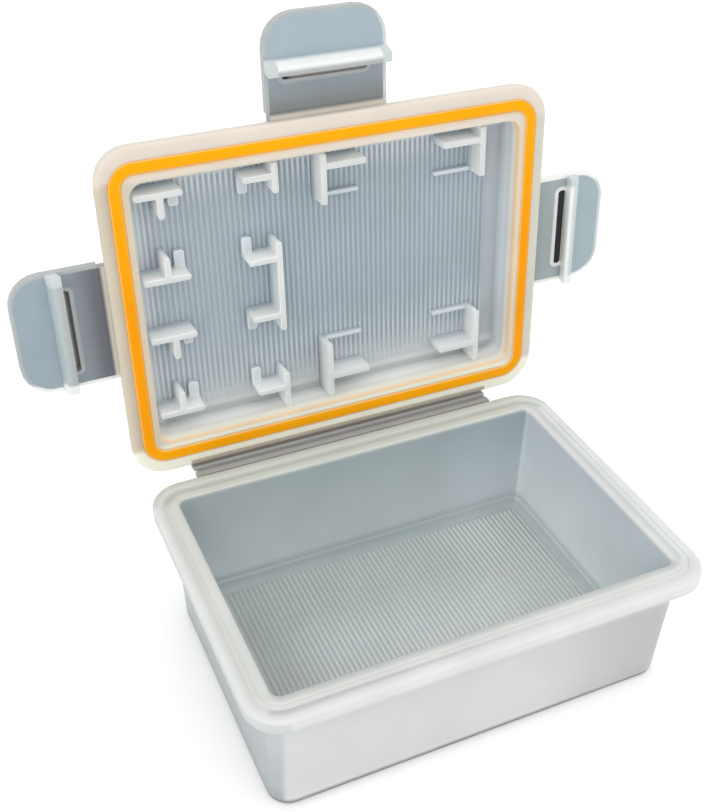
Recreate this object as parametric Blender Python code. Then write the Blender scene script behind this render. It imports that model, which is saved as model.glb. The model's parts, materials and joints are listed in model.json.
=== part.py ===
"""A small hard case for camera batteries, with a lid that also holds memory cards.

A rectangular tray carries a flange round its mouth. The lid is joined to the back of the flange by
a strap hinge with a thin film, carries a soft gasket in a groove, and has three flap latches whose
hook bars catch under the flange. Walls, ribs and pads that stand on the lid's floor hold one large
card and two small ones.

Sizes are in millimetres and are turned into metres where a mesh is made. X runs along the hinge, Y
runs from the front to the hinge, Z is up, and the origin is the centre of the tray's underside.
"""

import math
from collections import namedtuple

import bmesh
import bpy
from mathutils import Vector

MM = 0.001

# Tray
MOUTH_LENGTH = 58.8
MOUTH_WIDTH = 39.4
MOUTH_CORNER = 1.2
TRAY_HEIGHT = 21.2
TRAY_WALL = 1.5
TRAY_FLOOR = 1.7
WALL_LEAN = 0.65
WALL_CORNER = 3.4
FLOOR_CORNER = 1.6
FLOOR_FILLET = 1.6
FOOT_CORNER = 3.2
FOOT_ROUND = 0.7
MOUTH_ROUND = 0.4

# Flange round the tray's mouth
FLANGE_BAND_SIDES = 3.85
FLANGE_BAND_ENDS = 4.25
FLANGE_THICKNESS = 2.0
FLANGE_CORNER = 5.0
FLANGE_ROUND = 0.45
BEAD_WIDTH = 1.55
BEAD_GROOVE_WIDTH = 0.85
BEAD_GROOVE_DEPTH = 0.15

# Lid
LID_OVERHANG_SIDES = 0.45
LID_OVERHANG_ENDS = 1.15
LID_CORNER = 5.2
BRIM_THICKNESS = 2.9
BRIM_TAPER = 0.45
BRIM_FRONT_ROUND = 0.5
BRIM_BACK_ROUND = 0.3
LID_FLOOR_DEPTH = 5.0
LID_SKIN = 1.3
LID_WALL = 1.3
LID_WALL_LEAN = 0.3
LID_BACK_ROUND = 1.2
LID_FLOOR_FILLET = 0.5
LIP_CORNER = 2.0
LIP_ROUND = 0.3
LIP_WIDTH_SIDES = 1.18
LIP_WIDTH_ENDS = 1.52

# Gasket
GASKET_INSET_SIDES = 2.6
GASKET_INSET_ENDS = 2.9
GASKET_WIDTH = 1.45
GASKET_HEIGHT = 1.3
GASKET_CORNER = 2.8
GASKET_STAND = 0.1
GASKET_ROUND = 0.25

# Lid hinge
LID_OPEN_ANGLE = 94.37
HINGE_LENGTH = 50.0
HINGE_REACH = 1.77
HINGE_DROP = 0.32
CLOSED_GAP = 0.3
TRAY_STRAP_THICKNESS = 0.75
LID_STRAP_WIDTH = 0.64
LID_STRAP_DEPTH = 1.6
HINGE_FILM_THICKNESS = 0.24
HINGE_FILM_HALF = 0.3

# Latches
LATCH_WIDTH = 17.8
LATCH_LENGTH_FRONT = 13.5
LATCH_LENGTH_SIDES = 13.0
LATCH_THICKNESS = 1.1
LATCH_CORNER = 4.5
LATCH_FILM_LENGTH = 0.6
LATCH_FILM_THICKNESS = 0.3
SLOT_START = 4.85
SLOT_WIDTH = 1.35
SLOT_LENGTH = 12.5
SLOT_CORNER = 0.5
SLOT_SHIFT = -0.25
HOOK_HEIGHT = 2.0
HOOK_OVERHANG = 0.4
HOOK_LIP = 0.5
HOOK_FLAT = 1.3
HOOK_SLOPE = 0.7

# Card holders on the lid's floor
LARGE_CARD_LENGTH = 32.0
LARGE_CARD_WIDTH = 24.0
SMALL_CARD_LENGTH = 15.0
SMALL_CARD_WIDTH = 11.0
CARD_PLAY = 0.4
LARGE_CARD_END_PLAY = 0.8
HOLDER_WALL = 0.9
HOLDER_HEIGHT = 4.0
PAD_HEIGHT = 1.1
BAY_SHIFT = 0.7
LARGE_BAY_FROM_WALL = 17.8
SMALL_BAY_FROM_WALL = 12.0
SMALL_BAY_PITCH = 21.3
LARGE_BAR_REACH = 11.3
LARGE_TAB_LENGTH = 6.0
LARGE_RIDGE_REACH = 11.65
LARGE_RIDGE_WIDTH = 0.5
SMALL_BAR_PAST_CARD = 2.75
SMALL_PRONG_LENGTH = 2.9
PAD_WIDTH = 1.45
PAD_LENGTH = 2.4
HOOK_BAR_REACH = 3.65
HOOK_TAB_LENGTH = 4.15

# Clearances
SEAT_GAP = 0.3
GROOVE_PLAY = 0.15
FILM_GAP = 0.05
CUT_PAST = 0.01

# Fineness of round shapes
CORNER_STEPS = 6
ROUND_STEPS = 3
SMALLEST_CORNER = 0.4

# Sizes that follow from the ones above
MOUTH_X = MOUTH_LENGTH / 2
MOUTH_Y = MOUTH_WIDTH / 2
FLANGE_X = MOUTH_X + FLANGE_BAND_SIDES
FLANGE_Y = MOUTH_Y + FLANGE_BAND_ENDS
LID_X = FLANGE_X + LID_OVERHANG_SIDES
LID_Y = FLANGE_Y + LID_OVERHANG_ENDS
GASKET_X = LID_X - GASKET_INSET_SIDES
GASKET_Y = LID_Y - GASKET_INSET_ENDS
LIP_X = GASKET_X - GASKET_WIDTH / 2 - LIP_WIDTH_SIDES
LIP_Y = GASKET_Y - GASKET_WIDTH / 2 - LIP_WIDTH_ENDS
GROOVE_HALF = GASKET_WIDTH / 2 + GROOVE_PLAY
GROOVE_DEPTH = GASKET_HEIGHT - GASKET_STAND + SEAT_GAP
HINGE_Y = FLANGE_Y + HINGE_REACH
HINGE_Z = TRAY_HEIGHT - HINGE_DROP
LID_EDGE_FROM_AXIS = HINGE_REACH - LID_OVERHANG_ENDS
RIM_FROM_AXIS = -(CLOSED_GAP + HINGE_DROP)
LATCH_AXIS_DEPTH = BRIM_THICKNESS - LATCH_FILM_THICKNESS / 2
LID_FLOOR_X = LIP_X - LID_WALL_LEAN
LID_FLOOR_Y = LIP_Y - LID_WALL_LEAN
LARGE_BAY_X = LID_FLOOR_X - LARGE_BAY_FROM_WALL
SMALL_BAY_X = SMALL_BAY_FROM_WALL - LID_FLOOR_X

Ring = namedtuple("Ring", "half_x half_y corner height")
Block = namedtuple("Block", "x0 x1 y0 y1 top")


def clear_scene():
    """Remove every object that the scene starts with."""
    for item in list(bpy.data.objects):
        bpy.data.objects.remove(item, do_unlink=True)


def plastic(name, colour, roughness):
    """A plain material with one colour and one roughness."""
    material = bpy.data.materials.new(name)
    material.use_nodes = True
    shader = material.node_tree.nodes["Principled BSDF"]
    shader.inputs["Base Color"].default_value = (*colour, 1.0)
    shader.inputs["Roughness"].default_value = roughness
    shader.inputs["Metallic"].default_value = 0.0
    return material


def add_solid(name, bm, material, parent=None, location=(0.0, 0.0, 0.0)):
    """Turn a bmesh in millimetres into a named object, with its faces pointing out."""
    bmesh.ops.scale(bm, vec=(MM, MM, MM), verts=bm.verts)
    bmesh.ops.recalc_face_normals(bm, faces=bm.faces)
    mesh = bpy.data.meshes.new(name)
    bm.to_mesh(mesh)
    bm.free()
    mesh.materials.append(material)
    mesh.shade_smooth()
    mesh.set_sharp_from_angle(angle=math.radians(35))
    solid = bpy.data.objects.new(name, mesh)
    solid.location = Vector(location) * MM
    solid.parent = parent
    bpy.context.scene.collection.objects.link(solid)
    return solid


def add_frame(name, location, rotation, parent=None):
    """An empty that marks a joint's axis and carries the pieces that turn about it."""
    frame = bpy.data.objects.new(name, None)
    frame.location = Vector(location) * MM
    frame.rotation_euler = rotation
    frame.parent = parent
    bpy.context.scene.collection.objects.link(frame)
    return frame


def ring_points(ring):
    """Points of a rounded rectangle, counted round from the +X side."""
    points = []
    corner = min(ring.corner, ring.half_x, ring.half_y)
    for quarter, (side_x, side_y) in enumerate(((1, 1), (-1, 1), (-1, -1), (1, -1))):
        centre_x = side_x * (ring.half_x - corner)
        centre_y = side_y * (ring.half_y - corner)
        for step in range(CORNER_STEPS + 1):
            angle = math.pi / 2 * (quarter + step / CORNER_STEPS)
            x = centre_x + corner * math.cos(angle)
            y = centre_y + corner * math.sin(angle)
            points.append((x, y, ring.height))
    return points


def loft(rings, closed=False):
    """A skin over rounded rectangles in turn, capped at both ends or joined end to end."""
    bm = bmesh.new()
    loops = [[bm.verts.new(point) for point in ring_points(ring)] for ring in rings]
    pairs = list(zip(loops, loops[1:]))
    if closed:
        pairs.append((loops[-1], loops[0]))
    for first, second in pairs:
        count = len(first)
        for index in range(count):
            after = (index + 1) % count
            bm.faces.new((first[index], first[after], second[after], second[index]))
    if not closed:
        bm.faces.new(loops[0])
        bm.faces.new(loops[-1])
    return bm


def extrude(outline, low, high, along_x=False):
    """A prism over an outline: in X and Y and rising in Z, or in Y and Z and running along X."""
    bm = bmesh.new()
    if along_x:
        corners = [bm.verts.new((low, y, z)) for y, z in outline]
        travel = Vector((high - low, 0.0, 0.0))
    else:
        corners = [bm.verts.new((x, y, low)) for x, y in outline]
        travel = Vector((0.0, 0.0, high - low))
    face = bm.faces.new(corners)
    made = bmesh.ops.extrude_face_region(bm, geom=[face])
    moved = [item for item in made["geom"] if isinstance(item, bmesh.types.BMVert)]
    bmesh.ops.translate(bm, vec=travel, verts=moved)
    return bm


def block(spec, bottom):
    """A box from a block's plan and top, standing on the given height."""
    outline = [(spec.x0, spec.y0), (spec.x1, spec.y0), (spec.x1, spec.y1), (spec.x0, spec.y1)]
    return extrude(outline, bottom, spec.top)


def combine(target, tool_bm, operation):
    """Join a second solid to a piece, or cut it out, and keep only the piece's new mesh."""
    tool = add_solid("tool", tool_bm, target.data.materials[0], target.parent)
    tool.location = target.location
    modifier = target.modifiers.new(operation.lower(), "BOOLEAN")
    modifier.operation = operation
    modifier.solver = "EXACT"
    modifier.object = tool
    bpy.context.view_layer.update()
    evaluated = target.evaluated_get(bpy.context.evaluated_depsgraph_get())
    target.modifiers.remove(modifier)
    old = target.data
    name = old.name
    target.data = bpy.data.meshes.new_from_object(evaluated)
    bpy.data.objects.remove(tool, do_unlink=True)
    bpy.data.meshes.remove(old)
    target.data.name = name


def quarter_round(radius):
    """Steps of a quarter circle, as the share inset from the side and from the end face."""
    steps = []
    for step in range(ROUND_STEPS + 1):
        angle = math.pi / 2 * step / ROUND_STEPS
        steps.append((radius * (1 - math.cos(angle)), radius * (1 - math.sin(angle))))
    return steps


def mouth_ring(outset, height):
    """A ring at a distance outside the tray's mouth."""
    return Ring(MOUTH_X + outset, MOUTH_Y + outset, MOUTH_CORNER + outset, height)


def floor_ring(outset, corner, height):
    """A ring at a distance outside the tray's inner floor, or inside it where that is negative."""
    half_x = MOUTH_X - WALL_LEAN + outset
    half_y = MOUTH_Y - WALL_LEAN + outset
    return Ring(half_x, half_y, max(corner, SMALLEST_CORNER), height)


def flange_ring(inset, height):
    """A ring at a distance inside the flange's outline."""
    return Ring(FLANGE_X - inset, FLANGE_Y - inset, FLANGE_CORNER - inset, height)


def tray_outside():
    """Rings of the tray's outside, from the underside up to the flange's top."""
    under = TRAY_HEIGHT - FLANGE_THICKNESS
    rings = []
    for side, end in reversed(quarter_round(FOOT_ROUND)):
        rings.append(floor_ring(TRAY_WALL - side, FOOT_CORNER - side, end))
    rings.append(Ring(MOUTH_X + TRAY_WALL, MOUTH_Y + TRAY_WALL, WALL_CORNER, under))
    rings.append(flange_ring(0.0, under))
    for side, end in quarter_round(FLANGE_ROUND):
        rings.append(flange_ring(side, TRAY_HEIGHT - end))
    return rings


def tray_inside():
    """Rings from the flange's groove over the bead and down the inner wall to the floor."""
    groove = TRAY_HEIGHT - BEAD_GROOVE_DEPTH
    outer = BEAD_WIDTH + BEAD_GROOVE_WIDTH
    rings = [mouth_ring(outer, TRAY_HEIGHT), mouth_ring(outer, groove)]
    rings += [mouth_ring(BEAD_WIDTH, groove), mouth_ring(BEAD_WIDTH, TRAY_HEIGHT)]
    for side, end in reversed(quarter_round(MOUTH_ROUND)):
        rings.append(mouth_ring(side, TRAY_HEIGHT - end))
    for side, end in quarter_round(FLOOR_FILLET):
        rings.append(floor_ring(-side, FLOOR_CORNER - side, TRAY_FLOOR + end))
    return rings


def make_tray(material):
    """The open tray with its flange, as one skin from the underside round to the inner floor."""
    return add_solid("tray", loft(tray_outside() + tray_inside()), material)


def make_tray_strap(material):
    """The strap that runs back from the flange to the hinge film."""
    frame = add_frame("hinge_axis", (0.0, HINGE_Y, HINGE_Z), (0.0, 0.0, 0.0))
    start = -HINGE_REACH + SEAT_GAP
    end = -HINGE_FILM_HALF - FILM_GAP
    film = HINGE_FILM_THICKNESS / 2
    low = film - TRAY_STRAP_THICKNESS
    outline = [(start, low), (end - film, low), (end, -film), (end, film), (start, film)]
    bm = extrude(outline, -HINGE_LENGTH / 2, HINGE_LENGTH / 2, along_x=True)
    return add_solid("hinge_strap_tray", bm, material, frame)


def make_hinge_film(material):
    """The thin film between the two straps, flat at rest, bent as the lid turns."""
    half = HINGE_FILM_THICKNESS / 2
    near = -HINGE_FILM_HALF
    far = HINGE_FILM_HALF - FILM_GAP
    rest = Vector((0.0, HINGE_Y, HINGE_Z))
    outline = [(near, -half), (far, -half), (far, half), (near, half)]
    bm = extrude(outline, -HINGE_LENGTH / 2 + SEAT_GAP, HINGE_LENGTH / 2 - SEAT_GAP, along_x=True)
    return add_solid("hinge_film", bm, material, None, rest)


def make_lid_strap(material, lid_frame):
    """The strap that runs from the film along the lid's hinge-side edge face."""
    near = LID_EDGE_FROM_AXIS - SEAT_GAP - LID_STRAP_WIDTH
    far = LID_EDGE_FROM_AXIS - SEAT_GAP
    top = -HINGE_FILM_HALF
    bottom = top - LID_STRAP_DEPTH
    slant = LID_STRAP_WIDTH / 2
    outline = [(near, top), (far - slant, top), (far, top - slant), (far, bottom), (near, bottom)]
    bm = extrude(outline, -HINGE_LENGTH / 2, HINGE_LENGTH / 2, along_x=True)
    return add_solid("hinge_strap_lid", bm, material, lid_frame)


def lid_place():
    """Where the lid's centre lies in its rim plane, from the hinge axis."""
    return (0.0, LID_EDGE_FROM_AXIS + LID_Y, RIM_FROM_AXIS)


def lid_ring(inset, height):
    """A ring at a distance inside the lid's outline. The rim plane is at height 0."""
    return Ring(LID_X - inset, LID_Y - inset, LID_CORNER - inset, height)


def gasket_ring(outset, height):
    """A ring beside the gasket's centre line."""
    return Ring(GASKET_X + outset, GASKET_Y + outset, GASKET_CORNER + outset, height)


def lip_ring(outset, height):
    """A ring beside the edge of the lid's hollow."""
    corner = max(LIP_CORNER + outset, SMALLEST_CORNER)
    return Ring(LIP_X + outset, LIP_Y + outset, corner, height)


def lid_outside():
    """Rings from the lid's back, over the brim, to the rim plane."""
    back = -(LID_FLOOR_DEPTH + LID_SKIN)
    side = LID_WALL - LID_WALL_LEAN
    rings = [lip_ring(side - inset, back + end) for inset, end in reversed(quarter_round(LID_BACK_ROUND))]
    rings.append(lip_ring(LID_WALL, -BRIM_THICKNESS))
    for inset, end in reversed(quarter_round(BRIM_BACK_ROUND)):
        rings.append(lid_ring(BRIM_TAPER + inset, -BRIM_THICKNESS + end))
    for inset, end in quarter_round(BRIM_FRONT_ROUND):
        rings.append(lid_ring(inset, -end))
    return rings


def lid_inside():
    """Rings from the rim plane through the gasket's groove, over the lip and down to the floor."""
    rings = [gasket_ring(GROOVE_HALF, 0.0), gasket_ring(GROOVE_HALF, -GROOVE_DEPTH)]
    rings += [gasket_ring(-GROOVE_HALF, -GROOVE_DEPTH), gasket_ring(-GROOVE_HALF, 0.0)]
    for outset, end in reversed(quarter_round(LIP_ROUND)):
        rings.append(lip_ring(outset, -end))
    for inset, end in quarter_round(LID_FLOOR_FILLET):
        rings.append(lip_ring(-LID_WALL_LEAN - inset, -LID_FLOOR_DEPTH + end))
    return rings


def make_lid(material, lid_frame):
    """The shallow lid with its brim and gasket groove."""
    return add_solid("lid", loft(lid_outside() + lid_inside()), material, lid_frame, lid_place())


def make_gasket(material, lid_frame):
    """The soft ring that lies in the lid's groove and stands a little proud of the rim plane."""
    half = GASKET_WIDTH / 2
    bottom = GASKET_STAND - GASKET_HEIGHT
    outer = [gasket_ring(half - side, GASKET_STAND - end) for side, end in quarter_round(GASKET_ROUND)]
    inner = [gasket_ring(side - half, GASKET_STAND - end) for side, end in quarter_round(GASKET_ROUND)]
    rings = [gasket_ring(half, bottom)] + outer + inner[::-1] + [gasket_ring(-half, bottom)]
    return add_solid("gasket", loft(rings, closed=True), material, lid_frame, lid_place())


def latch_outline(length):
    """The flap's plan, from its straight root to its two round outer corners."""
    half = LATCH_WIDTH / 2
    root = LATCH_FILM_LENGTH / 2
    end = length - LATCH_FILM_LENGTH / 2
    points = [(-half, root), (half, root)]
    for side in (1, -1):
        for step in range(CORNER_STEPS + 1):
            angle = math.pi / 2 * step / CORNER_STEPS
            if side == -1:
                angle = math.pi / 2 - angle
            x = half - LATCH_CORNER + LATCH_CORNER * math.cos(angle)
            y = end - LATCH_CORNER + LATCH_CORNER * math.sin(angle)
            points.append((side * x, y))
    return points


def hook_outline(inner_face):
    """The hook bar's section in Y and Z: a catch face over the slot and a slope outside."""
    root = SLOT_START + SLOT_WIDTH - LATCH_FILM_LENGTH / 2
    tip = root - HOOK_OVERHANG
    flat = tip + HOOK_FLAT
    sunk = inner_face - LATCH_THICKNESS / 2
    top = inner_face + HOOK_HEIGHT
    lip = top - HOOK_LIP
    return [(root, sunk), (flat + HOOK_SLOPE, sunk), (flat + HOOK_SLOPE, inner_face), (flat, top),
            (tip, top), (tip, lip), (root, inner_face)]


def make_latch(name, length, material, frame):
    """A flap with a slot across it and a hook bar along the slot's outer edge."""
    inner_face = LATCH_FILM_THICKNESS / 2
    outer_face = inner_face - LATCH_THICKNESS
    latch = add_solid(name, extrude(latch_outline(length), outer_face, inner_face), material, frame)
    bar = extrude(hook_outline(inner_face), -LATCH_WIDTH / 2, LATCH_WIDTH / 2, along_x=True)
    combine(latch, bar, "UNION")
    middle = SLOT_START + SLOT_WIDTH / 2 - LATCH_FILM_LENGTH / 2
    outline = ring_points(Ring(SLOT_LENGTH / 2, SLOT_WIDTH / 2, SLOT_CORNER, 0.0))
    slot = [(SLOT_SHIFT + x, middle + y) for x, y, _ in outline]
    combine(latch, extrude(slot, outer_face - CUT_PAST, inner_face + CUT_PAST), "DIFFERENCE")
    return latch


def make_latch_film(name, material, frame):
    """The thin film that joins a latch's root to the lid's edge face."""
    half_x = LATCH_WIDTH / 2 - SEAT_GAP
    far = LATCH_FILM_LENGTH / 2 - FILM_GAP
    near = FILM_GAP - LATCH_FILM_LENGTH / 2 - BRIM_TAPER
    half_z = LATCH_FILM_THICKNESS / 2
    outline = [(-half_x, near), (half_x, near), (half_x, far), (-half_x, far)]
    return add_solid(name, extrude(outline, -half_z, half_z), material, frame)


def latch_frames(lid_frame):
    """The three latch axes: at the middle of the lid's far edge and of its two sides."""
    centre_y = LID_EDGE_FROM_AXIS + LID_Y
    reach = LATCH_FILM_LENGTH / 2
    height = RIM_FROM_AXIS - LATCH_AXIS_DEPTH
    places = {
        "front": ((0.0, centre_y + LID_Y + reach, height), 0.0),
        "left": ((-LID_X - reach, centre_y, height), math.pi / 2),
        "right": ((LID_X + reach, centre_y, height), -math.pi / 2),
    }
    frames = {}
    for side, (place, turn) in places.items():
        frames[side] = add_frame("latch_axis_" + side, place, (0.0, 0.0, turn), lid_frame)
    return frames


def make_holder(name, blocks, material, lid_frame):
    """A card holder: walls and pads that stand on the lid's floor, joined into one solid."""
    bottom = -LID_FLOOR_DEPTH + SEAT_GAP
    holder = add_solid(name, block(blocks[0], bottom), material, lid_frame, lid_place())
    for extra in blocks[1:]:
        combine(holder, block(extra, bottom), "UNION")
    return holder


def ordered_block(x_pair, y_pair, top):
    """A block from two X values and two Y values in any order."""
    return Block(min(x_pair), max(x_pair), min(y_pair), max(y_pair), top)


def wall_top():
    """The height of the holders' walls, from the rim plane."""
    return HOLDER_HEIGHT - LID_FLOOR_DEPTH


def pad_top():
    """The height of the low pads and ridges under the cards, from the rim plane."""
    return PAD_HEIGHT - LID_FLOOR_DEPTH


def large_holder_blocks(side_x, side_y):
    """One corner of the large card's bay: a side wall, an end tab and a low ridge."""
    inner_x = LARGE_BAY_X + side_x * (LARGE_CARD_WIDTH + CARD_PLAY) / 2
    outer_x = inner_x + side_x * HOLDER_WALL
    inner_y = BAY_SHIFT + side_y * (LARGE_CARD_LENGTH + LARGE_CARD_END_PLAY) / 2
    outer_y = inner_y + side_y * HOLDER_WALL
    wall_end = side_y * (LID_FLOOR_Y - SEAT_GAP)
    middle_x = (inner_x + outer_x) / 2
    tip_x = inner_x - side_x * LARGE_TAB_LENGTH
    ridge_y = BAY_SHIFT + side_y * LARGE_RIDGE_REACH
    ridge_ends = (ridge_y - LARGE_RIDGE_WIDTH / 2, ridge_y + LARGE_RIDGE_WIDTH / 2)
    return [
        ordered_block((inner_x, outer_x), (BAY_SHIFT + side_y * LARGE_BAR_REACH, wall_end), wall_top()),
        ordered_block((middle_x, tip_x), (inner_y, outer_y), wall_top()),
        ordered_block((middle_x, tip_x), ridge_ends, pad_top()),
    ]


def small_bay_y(side):
    """The middle of the upper small bay for side 1, or of the lower one for side -1."""
    return BAY_SHIFT + side * SMALL_BAY_PITCH / 2


def small_holder_blocks(bay, side_y):
    """One end of a small card's bay at the lid's left wall: a bar, a prong and a low pad."""
    inner_x = SMALL_BAY_X - (SMALL_CARD_LENGTH + CARD_PLAY) / 2
    inner_y = small_bay_y(bay) + side_y * (SMALL_CARD_WIDTH + CARD_PLAY) / 2
    outer_y = inner_y + side_y * HOLDER_WALL
    middle_y = (inner_y + outer_y) / 2
    bar_end = inner_x + SMALL_BAR_PAST_CARD
    prong_end = inner_y - side_y * SMALL_PRONG_LENGTH
    pad_end = inner_y - side_y * PAD_LENGTH
    return [
        ordered_block((-LID_FLOOR_X + SEAT_GAP, bar_end), (inner_y, outer_y), wall_top()),
        ordered_block((inner_x - HOLDER_WALL, inner_x), (middle_y, prong_end), wall_top()),
        ordered_block((bar_end - PAD_WIDTH, bar_end), (middle_y, pad_end), pad_top()),
    ]


def hook_blocks(bay, side_y):
    """One end tab and low pad beside the wall that closes a small bay's inner side."""
    inner_x = SMALL_BAY_X + (SMALL_CARD_LENGTH + CARD_PLAY) / 2
    middle_x = inner_x + HOLDER_WALL / 2
    inner_y = small_bay_y(bay) + side_y * (SMALL_CARD_WIDTH + CARD_PLAY) / 2
    outer_y = inner_y + side_y * HOLDER_WALL
    tip_x = inner_x - HOOK_TAB_LENGTH
    pad_end = inner_y - side_y * PAD_LENGTH
    return [
        ordered_block((middle_x, tip_x), (inner_y, outer_y), wall_top()),
        ordered_block((tip_x, tip_x + PAD_WIDTH), ((inner_y + outer_y) / 2, pad_end), pad_top()),
    ]


def hook_bar(y_pair):
    """The wall along the inner side of the small bays, between two Y values."""
    inner_x = SMALL_BAY_X + (SMALL_CARD_LENGTH + CARD_PLAY) / 2
    return ordered_block((inner_x, inner_x + HOLDER_WALL), y_pair, wall_top())


def make_large_holders(material, lid_frame):
    """The four corners of the large card's bay."""
    for row, side_y in (("upper", 1), ("lower", -1)):
        for column, side_x in (("left", -1), ("right", 1)):
            name = "large_card_corner_" + row + "_" + column
            make_holder(name, large_holder_blocks(side_x, side_y), material, lid_frame)


def make_small_holders(material, lid_frame):
    """The four bars on the lid's left wall, two for each small bay, counted from the top."""
    ends = [(1, 1), (1, -1), (-1, 1), (-1, -1)]
    for number, (bay, side_y) in enumerate(ends, start=1):
        name = "small_card_bar_" + str(number)
        make_holder(name, small_holder_blocks(bay, side_y), material, lid_frame)


def make_hooks(material, lid_frame):
    """The three walls on the small bays' inner side, the middle one shared by both bays."""
    wall_end = LID_FLOOR_Y - SEAT_GAP
    upper = small_bay_y(1)
    lower = small_bay_y(-1)
    top = [hook_bar((upper + HOOK_BAR_REACH, wall_end))] + hook_blocks(1, 1)
    middle = [hook_bar((lower + HOOK_BAR_REACH, upper - HOOK_BAR_REACH))]
    middle += hook_blocks(1, -1) + hook_blocks(-1, 1)
    bottom = [hook_bar((-wall_end, lower - HOOK_BAR_REACH))] + hook_blocks(-1, -1)
    for place, blocks in (("top", top), ("middle", middle), ("bottom", bottom)):
        make_holder("small_card_hook_" + place, blocks, material, lid_frame)


def main():
    clear_scene()
    frosted = plastic("frosted polypropylene", (0.62, 0.65, 0.66), 0.45)
    film = plastic("thin polypropylene film", (0.50, 0.52, 0.53), 0.40)
    latch_plastic = plastic("polypropylene latch", (0.42, 0.48, 0.52), 0.40)
    holder_plastic = plastic("polypropylene holder", (0.72, 0.73, 0.72), 0.45)
    silicone = plastic("orange silicone", (1.0, 0.36, 0.0), 0.50)
    make_tray(frosted)
    make_tray_strap(frosted)
    open_turn = math.radians(180.0 - LID_OPEN_ANGLE)
    lid_frame = add_frame("lid_axis", (0.0, HINGE_Y, HINGE_Z), (open_turn, 0.0, 0.0))
    make_hinge_film(film)
    make_lid_strap(frosted, lid_frame)
    make_lid(frosted, lid_frame)
    make_gasket(silicone, lid_frame)
    for side, frame in latch_frames(lid_frame).items():
        length = LATCH_LENGTH_FRONT if side == "front" else LATCH_LENGTH_SIDES
        make_latch("latch_" + side, length, latch_plastic, frame)
        make_latch_film("latch_film_" + side, film, frame)
    make_large_holders(holder_plastic, lid_frame)
    make_small_holders(holder_plastic, lid_frame)
    make_hooks(holder_plastic, lid_frame)


main()
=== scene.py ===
"""Scene for a small camera battery case: finishes, floor ribs, latch details, light and camera.

Sizes are in millimetres and are turned into metres where a mesh is made. X runs along the lid's hinge,
Y from the front to the hinge and Z up. The lid's own frame has its origin at the middle of the rim
plane, Y up the open lid and Z out of it; a latch's frame has Y away from its film and Z to its inner
face.
"""

import json
import math
from collections import namedtuple

import bmesh
import bpy
from mathutils import Matrix, Vector

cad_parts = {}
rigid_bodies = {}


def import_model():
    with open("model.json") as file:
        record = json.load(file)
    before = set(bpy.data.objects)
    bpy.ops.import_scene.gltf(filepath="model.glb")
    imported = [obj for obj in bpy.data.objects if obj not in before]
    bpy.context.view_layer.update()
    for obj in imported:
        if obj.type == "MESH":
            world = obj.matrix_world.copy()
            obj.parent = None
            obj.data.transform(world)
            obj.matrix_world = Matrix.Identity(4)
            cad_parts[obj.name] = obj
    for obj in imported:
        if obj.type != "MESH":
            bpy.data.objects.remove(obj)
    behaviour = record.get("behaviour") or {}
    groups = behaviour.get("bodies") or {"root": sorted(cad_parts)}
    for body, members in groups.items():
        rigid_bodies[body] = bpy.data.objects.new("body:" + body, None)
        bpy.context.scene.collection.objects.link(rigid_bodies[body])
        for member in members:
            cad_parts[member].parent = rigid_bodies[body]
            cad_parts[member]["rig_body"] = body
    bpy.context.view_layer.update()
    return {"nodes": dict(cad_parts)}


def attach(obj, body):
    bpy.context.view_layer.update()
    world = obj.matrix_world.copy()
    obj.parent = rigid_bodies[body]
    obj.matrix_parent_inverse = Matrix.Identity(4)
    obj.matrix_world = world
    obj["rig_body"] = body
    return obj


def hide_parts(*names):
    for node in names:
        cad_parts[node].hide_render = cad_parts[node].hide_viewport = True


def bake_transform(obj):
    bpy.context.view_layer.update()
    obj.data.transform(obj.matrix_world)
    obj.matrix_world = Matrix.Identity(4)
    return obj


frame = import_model()

MM = 0.001

# Tray. An outline, here and below, is half its length, half its width and its corners' radius
MOUTH = (29.4, 19.7, 1.2)
TRAY_FLOOR = 1.7
RIB_PITCH = 0.82
RIB_WIDTH = 0.44
RIB_HEIGHT = 0.13
TRAY_RIBS = 68
TRAY_RIB_ENDS = (-17.7, 17.7)

# Lid. It stands open at rest, and LID_SHUTS_BY is the turn in degrees that shuts it
HINGE_AXIS = Vector((0.0, 25.72, 20.88))
HINGE_FILM_ENDS = (-0.3, 0.27)
LID_SHUTS_BY = 94.37
LID_TURN = math.radians(180.0 - LID_SHUTS_BY)
LID_CENTRE = Vector((0.0, 25.72, -0.62))
GASKET_LINE = (31.1, 22.2, 2.8)
GASKET_PRESS = 0.14
LIP_LINE = (29.2, 19.95, 2.0)
LID_FLOOR = -5.0
LID_RIBS = 67
LID_RIB_MIDDLE = -0.6
LID_RIB_ENDS = (-17.7, 19.2)
HOLDER_BOTTOM = -4.7
HOLDER_ROUND = 0.4

# Edges: one that turns by more than SHARP is sharp, and is rounded by the width that its piece gives.
# One that turns by less than SMOOTH is shaded smooth
SHARP = 0.6
SMOOTH = math.radians(32)
HOLDER_EDGE = 0.14
LATCH_EDGE = 0.12
STRAP_EDGE = 0.08

# Meshes: faces that turn by less than FLAT are one face, points within SAME_POINT are one point, and
# points within NEAR of a level lie on it. A holder's foot goes SUNK into the floor that carries it
FLAT = math.radians(0.5)
SAME_POINT = 0.002
NEAR = 0.05
SUNK = 0.02
FILM_SLICES = 8

# Latches: the place of each one's axis in the hinge's frame, its turn and its length from the rim
LATCH_PLACES = {
    "front": (Vector((0.0, 51.12, -3.37)), 0.0, 13.5),
    "left": (Vector((-34.0, 25.72, -3.37)), math.pi / 2, 13.0),
    "right": (Vector((34.0, 25.72, -3.37)), -math.pi / 2, 13.0),
}
LATCH_HALF = 8.9
LATCH_CORNER = 4.5
LATCH_ROOT = 0.3
LATCH_FACE = 0.15
LATCH_BACK = -0.95
SLOT_CENTRE = (-0.25, 5.225)
SLOT_HALF = (6.25, 0.675)
SLOT_CORNER = 0.5

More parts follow.
